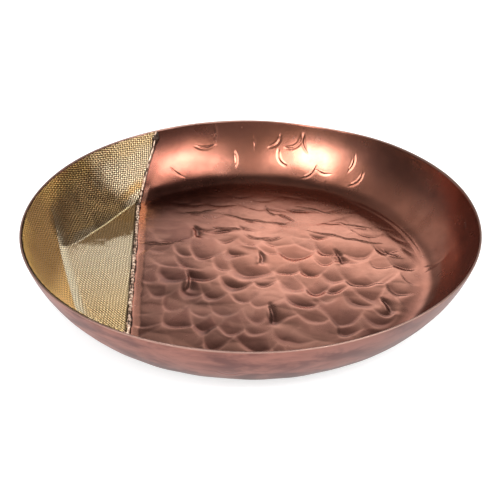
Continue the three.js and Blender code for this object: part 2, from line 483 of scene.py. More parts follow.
# Rings of the closed shell, from the middle of the inside over the lip to the middle of the underside
def ringPlan():
    plan = []
    cell = 0.0011
    for start, end, count in ((0.0, 0.005, 24), (0.005, 0.011, 48), (0.011, 0.022, 96),
                              (0.022, 0.045, 192), (0.045, 0.090, 384), (0.090, baseRadius, 768)):
        steps = max(2, round((end - start) / cell))
        for i in range(steps):
            plan.append(("base", start + (end - start) * (i + 1) / steps, 0.0, 0.0, count))
    half = dish["sheet"] / 2
    radius, height, slope = wallLine(half, 12, 29)
    for r, z, a in zip(radius[1:], height[1:], slope[1:]):
        plan.append(("inside", r, z, a, 768))
    lipX, lipZ = curve["lipCentre"]
    for i in range(1, 6):
        a = dish["rimAngle"] + math.pi * (1 - i / 6)
        plan.append(("lip", lipX + half * math.sin(a), lipZ - half * math.cos(a), a, 768))
    radius, height, slope = wallLine(-half, 6, 14)
    for r, z, a in zip(radius[::-1], height[::-1], slope[::-1]):
        plan.append(("outside", r, z, a, 384))
    for r, count in ((0.110, 192), (0.080, 96), (0.050, 48), (0.025, 24)):
        plan.append(("under", r, 0.0, 0.0, count))
    return plan


def rimWobble(angle):
    lift = -0.0011 * np.exp(-(np.angle(np.exp(1j * (angle - 1.19))) / 0.24) ** 2)
    lift += 0.0007 * np.exp(-(np.angle(np.exp(1j * (angle - 0.35))) / 0.3) ** 2)
    return lift + 0.00025 * np.sin(3 * angle + 0.6) + 0.00015 * np.sin(7 * angle + 2.0)


def dishPoints(kind, radius, height, slope, count):
    angle = np.arange(count) * 2 * math.pi / count
    x, y = radius * np.cos(angle), radius * np.sin(angle)
    z = np.full(count, height)
    crest = np.zeros(count)
    hollow = np.zeros(count)
    past = np.full(count, 1.0)
    if kind in ("base", "inside") and dish["rimRadius"] - radius > 0.0022:
        past = pastSeam(x, y)
    climb = max(0.0, (radius - baseRadius) / (dish["rimRadius"] - baseRadius))
    if kind == "base":
        marks, gap = hammerMarks(x, y)
        bare = smooth(pastSeam(x, y), 0.002, 0.009)
        fade = bare * (1 - smooth(np.hypot(x, y), baseRadius - 0.012, baseRadius - 0.001))
        swell = waves(x, y, 0.07, 5) * 0.00018
        dent = bare * cornerMarks(x, y)
        z = np.maximum(dish["sheet"] + fade * (marks + 0.0009 + swell) + dent, 0.0003)
        crest = fade * np.exp(-gap / 0.00035)
        hollow = np.maximum(fade * smooth(-marks, 0.0, hammering["depth"]), 2 * smooth(-dent, 0.0002, 0.0011))
    if kind in ("inside", "outside", "lip"):
        bare = 1.0
        if kind == "inside":
            bare = smooth(pastSeam(x, y), 0.001, 0.010)
        arc = angle * 0.15
        push = waves(arc, np.full(count, radius * 1.5), wallRelief["broadWave"], 23) * wallRelief["broadHeight"]
        push += waves(arc, np.full(count, radius * 1.5), wallRelief["fineWave"], 29) * wallRelief["fineHeight"]
        push *= bare * min(1.0, climb * 4) * (1 - 0.95 * climb)
        if kind == "inside":
            push += bare * wallScratches(angle, np.full(count, wallRise(climb)))
            ridge = smooth(angle, 0.05, 0.2) * (1 - smooth(angle, 0.75, 0.95))
            push += ridge * wallRelief["footRidge"] * math.exp(-((radius - baseRadius - 0.0015) / 0.0012) ** 2)
        x = x - push * math.sin(slope) * np.cos(angle)
        y = y - push * math.sin(slope) * np.sin(angle)
        z = z + push * math.cos(slope) + climb ** 2 * rimWobble(angle)
    return np.stack([x, y, z], axis=1), crest, hollow, past


def buildShell(name):
    shade = {"base": 0.0, "inside": 0.0, "lip": 0.5, "outside": 1.0, "under": 1.0}
    rings = [(np.zeros((1, 3)), np.zeros(1), np.zeros(1), np.ones(1), np.zeros(1))]
    starts, total = [], 1
    for kind, radius, height, slope, count in ringPlan():
        starts.append((total, count))
        rings.append(dishPoints(kind, radius, height, slope, count) + (np.full(count, shade[kind]),))
        total += count
    rings.append((np.zeros((1, 3)), np.zeros(1), np.zeros(1), np.ones(1), np.ones(1)))
    points, crest, hollow, past, outside = [np.concatenate(values) for values in zip(*rings)]
    points[0, 2] = points[1:starts[1][0], 2].mean()
    faces = [(0, starts[0][0] + k, starts[0][0] + (k + 1) % starts[0][1]) for k in range(starts[0][1])]
    for (a, na), (b, nb) in zip(starts, starts[1:]):
        if na == nb:
            faces += [(a + k, b + k, b + (k + 1) % nb, a + (k + 1) % na) for k in range(na)]
        elif nb == 2 * na:
            for k in range(na):
                low, high = a + k, a + (k + 1) % na
                one, two, three = b + 2 * k, b + 2 * k + 1, b + (2 * k + 2) % nb
                faces += [(low, one, two), (low, two, high), (high, two, three)]
        else:
            for k in range(nb):
                low, high = b + k, b + (k + 1) % nb
                one, two, three = a + 2 * k, a + 2 * k + 1, a + (2 * k + 2) % na
                faces += [(low, two, one), (low, high, two), (high, three, two)]
    last, count = starts[-1]
    faces += [(last + (k + 1) % count, last + k, total) for k in range(count)]
    data = bpy.data.meshes.new(name)
    data.from_pydata(points.tolist(), [], faces)
    data.shade_smooth()
    for label, values in (("crest", crest), ("hollow", hollow), ("past", past), ("outside", outside)):
        data.attributes.new(label, "FLOAT", "POINT").data.foreach_set("value", values)
    return addObject(name, data)


# Thin laps where blows overlap at the back of the base: both ends in plan, and how far the line bows
baseLaps = [
    {"from": (-0.024, 0.084), "to": (0.035, 0.069), "bow": -0.006},
    {"from": (0.035, 0.069), "to": (0.022, 0.080), "bow": -0.003},
    {"from": (0.015, 0.098), "to": (0.023, 0.080), "bow": -0.004},
    {"from": (0.051, 0.055), "to": (0.105, 0.036), "bow": -0.003},
    {"from": (0.075, 0.069), "to": (0.099, 0.059), "bow": -0.003},
    {"from": (-0.004, 0.050), "to": (0.026, 0.047), "bow": -0.008},
    {"from": (-0.088, 0.036), "to": (-0.056, 0.038), "bow": -0.003},
    {"from": (0.108, 0.025), "to": (0.121, 0.014), "bow": -0.003},
    {"from": (-0.060, 0.087), "to": (-0.030, 0.090), "bow": -0.003},
    {"from": (0.043, 0.096), "to": (0.072, 0.085), "bow": -0.002},
    {"from": (-0.030, 0.064), "to": (-0.004, 0.060), "bow": -0.004},
]


# The circle a bowed line lies on, in the same terms as the wall's scratches
def lapCircle(lap):
    start, end = np.array(lap["from"]), np.array(lap["to"])
    chord = np.linalg.norm(end - start)
    bow = lap["bow"]
    radius = (chord ** 2 / 4 + bow ** 2) / (2 * abs(bow))
    normal = np.array([start[1] - end[1], end[0] - start[0]]) / chord * math.copysign(1, bow)
    centre = (start + end) / 2 + normal * (abs(bow) - radius)
    return centre, radius, math.atan2(normal[0], normal[1]), math.asin(min(1.0, chord / 2 / radius))


# A thin line of painted shade and a small step in the relief along part of a circle
def arcLine(n, aside, rise, radius, middle, half):
    past = n.minus(n.length(aside, rise), radius)
    off = n.math("ABSOLUTE", past)
    facing = n.addProduct(rise, math.cos(middle), n.times(aside, math.sin(middle)))
    show = n.step(n.math("DIVIDE", facing, radius), math.cos(half), math.cos(half * 0.6))
    line = n.times(n.step(off, 0.0009, 0.0001), show)
    step = n.times(n.step(past, -0.0007, 0.0007, -0.5, 0.5), n.step(off, 0.0030, 0.0006))
    return line, n.times(step, show)


# All scratches and laps together: the darkest line and the summed steps at each place
def arcLines(n, split):
    around = n.math("ARCTAN2", split["Y"], split["X"])
    radius = n.length(split["X"], split["Y"])
    wall = dish["rimRadius"] - baseRadius
    climb = n.times(n.minus(radius, baseRadius), 1 / wall, True)
    up = n.addProduct(n.math("POWER", climb, 4.0), 0.0170, n.times(climb, 0.0456))
    drift = n.noise(n.add("ShaderNodeTexCoord").outputs["Object"], 60, 2, 0.5)
    drift = n.step(drift, 0.3, 0.7, -0.0016, 0.0016)
    lines, steps = 0.0, 0.0
    for arc in wallArcs:
        aside = n.times(n.minus(around, math.radians(arc["around"])), -wallRelief["turnRadius"])
        rise = n.minus(up, arc["up"])
        middle = math.radians((arc["from"] + arc["to"]) / 2)
        half = math.radians((arc["to"] - arc["from"]) / 2)
        line, step = arcLine(n, aside, rise, arc["radius"], middle, half)
        lines, steps = n.math("MAXIMUM", line, lines), n.plus(step, steps)
    for lap in baseLaps:
        centre, bend, middle, half = lapCircle(lap)
        aside = n.minus(split["X"], float(centre[0]))
        rise = n.minus(n.plus(split["Y"], drift), float(centre[1]))
        line, step = arcLine(n, aside, rise, float(bend), middle, half)
        lines, steps = n.math("MAXIMUM", line, lines), n.plus(step, steps)
    return lines, steps


copperTones = {
    "rose": (0.52, 0.205, 0.135, 1),
    "paleRose": (0.62, 0.265, 0.185, 1),
    "brown": (0.110, 0.037, 0.026, 1),
    "paleBrown": (0.19, 0.068, 0.048, 1),
    "wornEdgeAndHighlight": (0.80, 0.41, 0.29, 1),
    "brightSeamStrip": (0.93, 0.42, 0.30, 1),
    "fluxStainAndClothShade": (0.055, 0.028, 0.020, 1),
    "rightWallShade": (0.15, 0.058, 0.044, 1),
    "grooveShade": (0.12, 0.05, 0.04, 1),
    "mauve": (0.150, 0.064, 0.056, 1),
    "paleMauve": (0.30, 0.132, 0.105, 1),
    "outsideFootPatinaAndShade": (0.13, 0.095, 0.085, 1),
    "outsideGrey": (0.15, 0.095, 0.088, 1),
    "lip": (0.62, 0.42, 0.35, 1),
}


# Rose copper that goes brown towards the front and the seam, with painted shade at the back of the base, under
# the cloth, in the scratch lines and on the right wall, painted highlights on the crests and along the lip, a
# bright strip along the seam, mauve on the outside with painted shade towards its foot
def copperMaterial():
    material, tree = newMaterial("hammeredCopper")
    n = Nodes(tree)
    tones = copperTones
    where = n.add("ShaderNodeTexCoord").outputs["Object"]
    crest, hollow, outside = n.attribute("crest"), n.attribute("hollow"), n.attribute("outside")
    split = n.add("ShaderNodeSeparateXYZ", {0: where}).outputs
    blotch = n.noise(where, 13, 4, 0.6, 0.4)
    small = n.noise(where, 46, 4, 0.6, 0.2)
    fine = n.noise(where, 160, 2, 0.4)
    rose = n.mix(n.step(blotch, 0.35, 0.65), tones["rose"], tones["paleRose"])
    brown = n.mix(n.step(small, 0.3, 0.7), tones["brown"], tones["paleBrown"])
    nearFront = n.step(split["Y"], 0.01, -0.11, 0.0, 0.95)
    nearSeam = n.step(split["X"], 0.02, -0.075, 0.0, 0.82)
    # painted shade: the back of the base next to the bend is darkened, standing in for the dark reflection that
    # lies there
    nearBackShade = n.times(n.step(split["Y"], 0.060, 0.115, 0.0, 0.4),
                      n.step(split["Z"], 0.008, 0.004))
    tarnishAndShade = n.plus(n.plus(nearFront, nearSeam, True), nearBackShade, True)
    tarnishAndShade = n.plus(tarnishAndShade, n.step(small, 0.42, 0.75, 0.0, 0.3), True)
    tarnishAndShade = n.plus(tarnishAndShade, n.times(hollow, 0.30), True)
    inside = n.mix(tarnishAndShade, rose, brown)
    # the hammer marks' crests are lighter: partly rubbed wear, partly a painted highlight along the ridges
    inside = n.mix(n.times(crest, 0.22), inside, tones["wornEdgeAndHighlight"])
    past = n.attribute("past")
    edge = n.plus(past, n.step(small, 0.3, 0.7, -0.0008, 0.0008))
    strip = n.times(n.step(edge, 0.0012, 0.0024), n.step(edge, 0.0085, 0.0060))
    onBase = n.step(split["Z"], 0.010, 0.005)
    # a bright strip along the seam on the base
    inside = n.mix(n.times(n.times(strip, onBase), 0.9), inside, tones["brightSeamStrip"])
    # dark flux stain along the seam, and painted shade on the copper under the cloth, where this band reaches
    # all the way under it
    fluxStainAndClothShade = n.step(edge, 0.0024, 0.0012)
    inside = n.mix(n.times(fluxStainAndClothShade, 0.85), inside, tones["fluxStainAndClothShade"])
    # painted shade on the upper right wall, lifted by a painted lit patch low on that wall
    wallShade = n.times(n.step(split["X"], 0.05, 0.14),
                       n.step(split["Z"], 0.008, 0.03))
    litPatch = n.times(n.step(split["Z"], 0.028, 0.014),
                  n.step(n.math("ABSOLUTE", n.plus(split["Y"], 0.005)), 0.060, 0.030))
    wallShade = n.minus(wallShade, n.times(litPatch, 0.6), True)
    wallShade = n.times(wallShade, n.step(small, 0.3, 0.7, 1.0, 0.75))
    inside = n.mix(n.times(wallShade, 0.9), inside, tones["rightWallShade"])
    lines, steps = arcLines(n, split)
    # the scratch and lap lines are painted shade in their grooves
    inside = n.mix(n.times(lines, 0.4), inside, tones["grooveShade"])
    squashed = n.add("ShaderNodeMapping", {"Vector": where, "Scale": (1, 1, 3)}).outputs[0]
    streaks = n.noise(squashed, 28, 4, 0.6, 0.5)
    mauve = n.mix(n.step(streaks, 0.36, 0.64), tones["mauve"], tones["paleMauve"])
    # greyer and darker towards the foot: partly patina, partly painted shade for the floor's shadow seen in the
    # outside
    mauve = n.mix(n.step(split["Z"], 0.020, 0.002, 0.0, 0.6), mauve, tones["outsideFootPatinaAndShade"])
    grey = n.step(split["X"], 0.0, 0.15, 0.0, 0.55)
    mauve = n.mix(grey, mauve, tones["outsideGrey"])
    colour = n.mix(outside, inside, mauve)
    # painted highlight: a paler band along the lip and the top of the rim
    lip = n.step(n.math("ABSOLUTE", n.minus(outside, 0.5)), 0.35, 0.1)
    lip = n.math("MAXIMUM", lip, n.step(split["Z"], 0.0458, 0.0466))
    colour = n.mix(n.times(lip, 0.5), colour, tones["lip"])
    rough = n.plus(n.times(small, 0.12), 0.20)
    rough = n.plus(rough, n.times(outside, 0.2))
    rough = n.plus(rough, n.times(lip, 0.15))
    bump = n.add("ShaderNodeBump", {"Height": fine, "Strength": 0.12, "Distance": 0.0003})
    bump = n.add("ShaderNodeBump", {"Height": steps, "Strength": 0.8, "Distance": 0.00042,
                                    "Normal": bump.outputs[0]})
    shader = n.add("ShaderNodeBsdfPrincipled", {
        "Base Color": colour, "Roughness": rough, "Metallic": 1.0, "Normal": bump.outputs[0]})
    n.add("ShaderNodeOutputMaterial", {"Surface": shader.outputs[0]})
    return material


copperDish = buildShell("copperDish")
copperDish.data.materials.append(copperMaterial())
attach(copperDish, "root")
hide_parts("copper_dish")
print("dish", len(copperDish.data.vertices), "points")

cloth = {
    "gap": 0.0003,
    "thick": 0.0014,
    "rimDrop": 0.0007,
    "edge": 0.0014,
    "cone": 0.57,
    "uvSpan": 0.44,
    "pitch": 0.00176,
    "width": {"warp": 0.00082, "weft": 0.00112},
    "wire": 0.00054,
    "wave": 0.00032,
    "angle": {"warp": math.radians(50), "weft": math.radians(-50)},
    "creaseTurn": math.radians(149.7),
    "creaseOff": 0.1364,
    "creaseHalf": 0.029,
    "foldLean": 0.29,
    "foldOff": 0.147,
    "seed": 3.0,
}


# The line up the wall at a distance from its foot: radius, height, slope and distance of each point
def wallSheet(lift, rimDrop):
    radius, height, slope = wallLine(lift, 16, 60)
    steps = np.hypot(np.diff(radius), np.diff(height))
    along = np.concatenate([[0], np.cumsum(steps)])
    wanted = np.linspace(0, along[-1] - rimDrop + dish["sheet"] / 2, 44)
    return [np.interp(wanted, along, values) for values in (radius, height, slope)] + [wanted]


def guideMesh(name, rows):
    points = np.array([[place for place, up, uv in row] for row in rows])
    ups = np.array([[up for place, up, uv in row] for row in rows])
    uvs = np.array([[uv for place, up, uv in row] for row in rows])
    count, width = points.shape[:2]
    faces = [(r * width + c, (r + 1) * width + c, (r + 1) * width + c + 1, r * width + c + 1)
             for r in range(count - 1) for c in range(width - 1)]
    data = bpy.data.meshes.new(name)
    data.from_pydata(points.reshape(-1, 3).tolist(), [], faces)
    data.attributes.new("up", "FLOAT_VECTOR", "POINT").data.foreach_set("vector", ups.reshape(-1))
    flat = np.zeros((count * width, 3))
    flat[:, :2] = uvs.reshape(-1, 2) / cloth["uvSpan"] + 0.5
    data.attributes.new("clothPlace", "FLOAT_VECTOR", "POINT").data.foreach_set("vector", flat.reshape(-1))
    return addObject(name, data)


def baseGuide():
    lift = dish["sheet"] + cloth["gap"] + cloth["thick"] / 2
    edgeRadius = baseRadius + 0.0004
    reach = math.sqrt(edgeRadius ** 2 - seam["offset"] ** 2) + 0.004
    rows = []
    for y in np.linspace(-reach, reach, 150):
        left = -math.sqrt(max(0.0, edgeRadius ** 2 - y * y))
        right = -(seam["offset"] + cloth["edge"]) / math.cos(seam["skew"]) - y * math.tan(seam["skew"])
        if right - left < 0.0002:
            continue
        row = []
        for x in np.linspace(left, right, 40):
            bulge = clothBulge(x, y)
            row.append(((x, y, lift + bulge), (0, 0, 1), (x + 0.14, y)))
        rows.append(row)
    return guideMesh("baseGuide", rows)


# How far the loosely laid cloth rises off the sheet: puckers, a crease along the bend, a fold and a wrinkle
def clothBulge(x, y):
    pucker = float(waves(np.array([x]), np.array([y]), 0.034, 41)[0]) * 0.00030
    turn = cloth["creaseTurn"]
    off = x * math.cos(turn) + y * math.sin(turn) - cloth["creaseOff"]
    along = (y * math.cos(turn) - x * math.sin(turn)) / cloth["creaseHalf"]
    crease = math.exp(-(off / 0.0013) ** 2) * float(smooth(np.array(abs(along)), 1.15, 0.85))
    wrinkle = math.exp(-((y - 0.0285 - 0.1 * (x + 0.116)) / 0.0013) ** 2 - ((x + 0.1165) / 0.006) ** 2)
    beyond = -x - cloth["foldLean"] * y - cloth["foldOff"]
    fold = math.exp(-(beyond / 0.0020) ** 2) * float(smooth(np.array(abs(y + 0.01)), 0.055, 0.035))
    return pucker + 0.0010 * crease + 0.0009 * fold - 0.0007 * wrinkle


def wallGuide():
    lift = dish["sheet"] / 2 + cloth["gap"] + cloth["thick"] / 2
    cone = cloth["cone"]
    start = baseRadius / cone
    rows = []
    radii, heights, slopes, distances = wallSheet(lift, cloth["rimDrop"])
    foot = (baseRadius - 0.0008, heights[0], slopes[0], -0.0008)
    for radius, height, slope, distance in [foot, *zip(radii, heights, slopes, distances)]:
        back = float(seamAngle(radius, 1)) + cloth["edge"] / radius
        front = 2 * math.pi + float(seamAngle(radius, -1)) - cloth["edge"] / radius
        row = []
        for around in np.linspace(back, front, 200):
            out = np.array([math.cos(around), math.sin(around), 0.0])
            up = np.array([0.0, 0.0, math.cos(slope)]) - out * math.sin(slope)
            place = out * radius + np.array([0.0, 0.0, height])
            fade = 1 - (distance / 0.062) ** 4
            place = place + up * clothBulge(place[0], place[1]) * max(0.0, fade)
            turn, reach = cone * (around - math.pi), start + distance
            flat = (start - baseRadius - reach * math.cos(turn) + 0.14, -reach * math.sin(turn))
            row.append((tuple(place), tuple(up), flat))
        rows.append(row)
    return guideMesh("wallGuide", rows)


def treeSockets(tree, sockets):
    tree.interface.new_socket("Geometry", in_out="OUTPUT", socket_type="NodeSocketGeometry")
    tree.interface.new_socket("Geometry", in_out="INPUT", socket_type="NodeSocketGeometry")
    for name, kind in sockets.items():
        tree.interface.new_socket(name, in_out="INPUT", socket_type="NodeSocket" + kind)


# Wires laid side by side on a flat plane, waved over and under, then wrapped on to the guide surface
def weaveTree():
    tree = bpy.data.node_groups.new("wireCloth", "GeometryNodeTree")
    treeSockets(tree, {"Pitch": "Float", "Width": "Float", "Thickness": "Float", "Wave": "Float",
                       "Angle": "Float", "Other Angle": "Float", "Side": "Float", "Reach": "Float",
                       "Span": "Float", "Seed": "Float", "Material": "Material"})
    n = Nodes(tree)
    given = n.add("NodeGroupInput").outputs
    pitch, reach = given["Pitch"], given["Reach"]
    half = n.math("FLOOR", n.math("DIVIDE", reach, pitch))
    count = n.plus(n.times(half, 2.0), 1.0)
    firstY = n.times(n.times(half, pitch), -1.0)
    start = n.add("ShaderNodeCombineXYZ", {"Y": firstY}).outputs[0]
    offset = n.add("ShaderNodeCombineXYZ", {"Y": pitch}).outputs[0]
    lines = n.add("GeometryNodeMeshLine", {"Count": count, "Start Location": start, "Offset": offset},
                  mode="OFFSET")
    index = n.minus(n.add("GeometryNodeInputIndex").outputs[0], half)
    numbered = n.add("GeometryNodeStoreNamedAttribute", {"Geometry": lines.outputs[0], "Name": "line",
                                                         "Value": index},
                     data_type="FLOAT", domain="POINT").outputs[0]
    wireLength = n.times(reach, 2.0)
    segments = n.math("DIVIDE", n.times(wireLength, 3.0), pitch)
    tube = n.add("GeometryNodeMeshCylinder", {"Vertices": 5, "Side Segments": segments, "Radius": 1.0,
                                              "Depth": wireLength}, fill_type="NONE").outputs["Mesh"]
    section = n.add("ShaderNodeCombineXYZ", {"X": n.times(given["Thickness"], 0.5),
                                             "Y": n.times(given["Width"], 0.5), "Z": 1.0}).outputs[0]
    wire = n.add("GeometryNodeTransform", {"Geometry": tube, "Rotation": (0, math.pi / 2, 0),
                                           "Scale": section}).outputs[0]
    laid = n.add("GeometryNodeInstanceOnPoints", {"Points": numbered, "Instance": wire}).outputs[0]
    laid = n.add("GeometryNodeRealizeInstances", {"Geometry": laid}).outputs[0]

    split = n.add("ShaderNodeSeparateXYZ", {0: n.add("GeometryNodeInputPosition").outputs[0]}).outputs
    turn = n.add("ShaderNodeCombineXYZ", {"Z": given["Angle"]}).outputs[0]
    flat = n.add("ShaderNodeCombineXYZ", {"X": split["X"], "Y": split["Y"]}).outputs[0]
    plane = n.add("ShaderNodeVectorRotate", {"Vector": flat, "Rotation": turn},
                  rotation_type="EULER_XYZ").outputs[0]
    cosOther, sinOther = n.math("COSINE", given["Other Angle"]), n.math("SINE", given["Other Angle"])
    across = n.add("ShaderNodeCombineXYZ", {"X": n.times(sinOther, -1.0), "Y": cosOther}).outputs[0]
    otherLine = n.add("ShaderNodeVectorMath", {0: plane, 1: across}, operation="DOT_PRODUCT").outputs["Value"]
    otherLine = n.math("DIVIDE", otherLine, pitch)
    line = n.add("GeometryNodeInputNamedAttribute", {"Name": "line"}, data_type="FLOAT").outputs[0]
    swing = n.math("COSINE", n.times(n.plus(line, otherLine), math.pi))
    swing = n.times(swing, given["Side"])
    height = n.plus(n.times(swing, given["Wave"]), split["Z"])
    crown = n.math("DIVIDE", height, n.plus(given["Wave"], n.times(given["Thickness"], 0.5)))
    drift = n.add("ShaderNodeTexNoise", {"Vector": plane, "W": given["Seed"], "Scale": 55.0, "Detail": 1.0},
                  noise_dimensions="4D").outputs["Color"]
    drift = n.add("ShaderNodeVectorMath", {0: drift, 1: (0.5, 0.5, 0.5)}, operation="SUBTRACT").outputs[0]
    drift = n.add("ShaderNodeVectorMath", {0: drift, 1: (0.0022, 0.0022, 0.0)}, operation="MULTIPLY").outputs[0]
    plane = n.add("ShaderNodeVectorMath", {0: plane, 1: drift}, operation="ADD").outputs[0]
    shrink = n.math("DIVIDE", 1.0, given["Span"])
    shrink = n.add("ShaderNodeCombineXYZ", {"X": shrink, "Y": shrink, "Z": 0.0}).outputs[0]
    spot = n.add("ShaderNodeVectorMath", {0: plane, 1: shrink, 2: (0.5, 0.5, 0.0)},
                 operation="MULTIPLY_ADD").outputs[0]
    clothPlace = n.add("GeometryNodeInputNamedAttribute", {"Name": "clothPlace"},
                       data_type="FLOAT_VECTOR").outputs[0]
    up = n.add("GeometryNodeInputNamedAttribute", {"Name": "up"}, data_type="FLOAT_VECTOR").outputs[0]
    here = n.add("GeometryNodeInputPosition").outputs[0]

    sampled = {}
    for label, value in (("onSheet", here), ("sheetUp", up)):
        sampled[label] = n.add("GeometryNodeSampleUVSurface", {"Mesh": given["Geometry"], "Value": value,
                                                               "Source UV Map": clothPlace, "Sample UV": spot},
                               data_type="FLOAT_VECTOR").outputs
    laid = n.add("GeometryNodeStoreNamedAttribute", {"Geometry": laid, "Name": "keep",
                                                     "Value": sampled["onSheet"]["Is Valid"]},
                 data_type="BOOLEAN", domain="POINT").outputs[0]
    laid = n.add("GeometryNodeStoreNamedAttribute", {"Geometry": laid, "Name": "rise", "Value": height},
                 data_type="FLOAT", domain="POINT").outputs[0]
    laid = n.add("GeometryNodeStoreNamedAttribute", {"Geometry": laid, "Name": "crown", "Value": crown},
                 data_type="FLOAT", domain="POINT").outputs[0]
    laid = n.add("GeometryNodeStoreNamedAttribute", {"Geometry": laid, "Name": "sheetUp",
                                                     "Value": sampled["sheetUp"]["Value"]},
                 data_type="FLOAT_VECTOR", domain="POINT").outputs[0]
    onSheet = sampled["onSheet"]["Value"]
    laid = n.add("GeometryNodeSetPosition", {"Geometry": laid, "Position": onSheet}).outputs[0]
    keep = n.add("GeometryNodeInputNamedAttribute", {"Name": "keep"}, data_type="BOOLEAN").outputs[0]
    gone = n.add("FunctionNodeBooleanMath", {0: keep}, operation="NOT").outputs[0]
    laid = n.add("GeometryNodeDeleteGeometry", {"Geometry": laid, "Selection": gone}, domain="POINT").outputs[0]
    rise = n.add("GeometryNodeInputNamedAttribute", {"Name": "rise"}, data_type="FLOAT").outputs[0]
    sheetUp = n.add("GeometryNodeInputNamedAttribute", {"Name": "sheetUp"}, data_type="FLOAT_VECTOR").outputs[0]
    lifted = n.add("ShaderNodeVectorMath", {0: sheetUp, "Scale": rise}, operation="SCALE").outputs[0]
    laid = n.add("GeometryNodeSetPosition", {"Geometry": laid, "Offset": lifted}).outputs[0]
    for label in ("line", "keep", "rise", "sheetUp"):
        laid = n.add("GeometryNodeRemoveAttribute", {"Geometry": laid, "Name": label}).outputs[0]
    laid = n.add("GeometryNodeRealizeInstances", {"Geometry": laid}).outputs[0]
    laid = n.add("GeometryNodeSetMaterial", {"Geometry": laid, "Material": given["Material"]}).outputs[0]
    n.add("NodeGroupOutput", {0: laid})
    return tree


def grow(name, guide, tree, values):
    modifier = guide.modifiers.new("nodes", "NODES")
    modifier.node_group = tree
    for item in tree.interface.items_tree:
        if item.in_out == "INPUT" and item.name in values:
            modifier[item.identifier] = values[item.name]
    bpy.context.view_layer.update()
    evaluated = guide.evaluated_get(bpy.context.evaluated_depsgraph_get())
    data = bpy.data.meshes.new_from_object(evaluated)
    data.name = name
    data.shade_smooth()
    guide.modifiers.remove(modifier)
    return addObject(name, data)


brassTones = {
    "base": (1.0, 0.86, 0.61, 1),
    "frontOfBase": (1.0, 0.74, 0.39, 1),
    "shadedWires": (0.34, 0.21, 0.09, 1),
    "wall": (0.90, 0.58, 0.235, 1),
    "frontLeftWall": (0.48, 0.30, 0.105, 1),
    "leftWall": (0.34, 0.19, 0.068, 1),
    "fold": (1.0, 0.90, 0.66, 1),
    "smoothed": (0.19, 0.098, 0.024, 1),
    "dark": (0.13, 0.072, 0.027, 1),
    "pale": (1.0, 0.84, 0.58, 1),
    "crease": (1.0, 0.84, 0.50, 1),
    "amber": (0.85, 0.55, 0.16, 1),
    "fluxAndGapShade": (0.05, 0.030, 0.018, 1),
    "low": (0.07, 0.045, 0.022, 1),
    "paleDipShade": (0.13, 0.085, 0.04, 1),
    "smoothedDipShade": (0.26, 0.19, 0.10, 1),
}
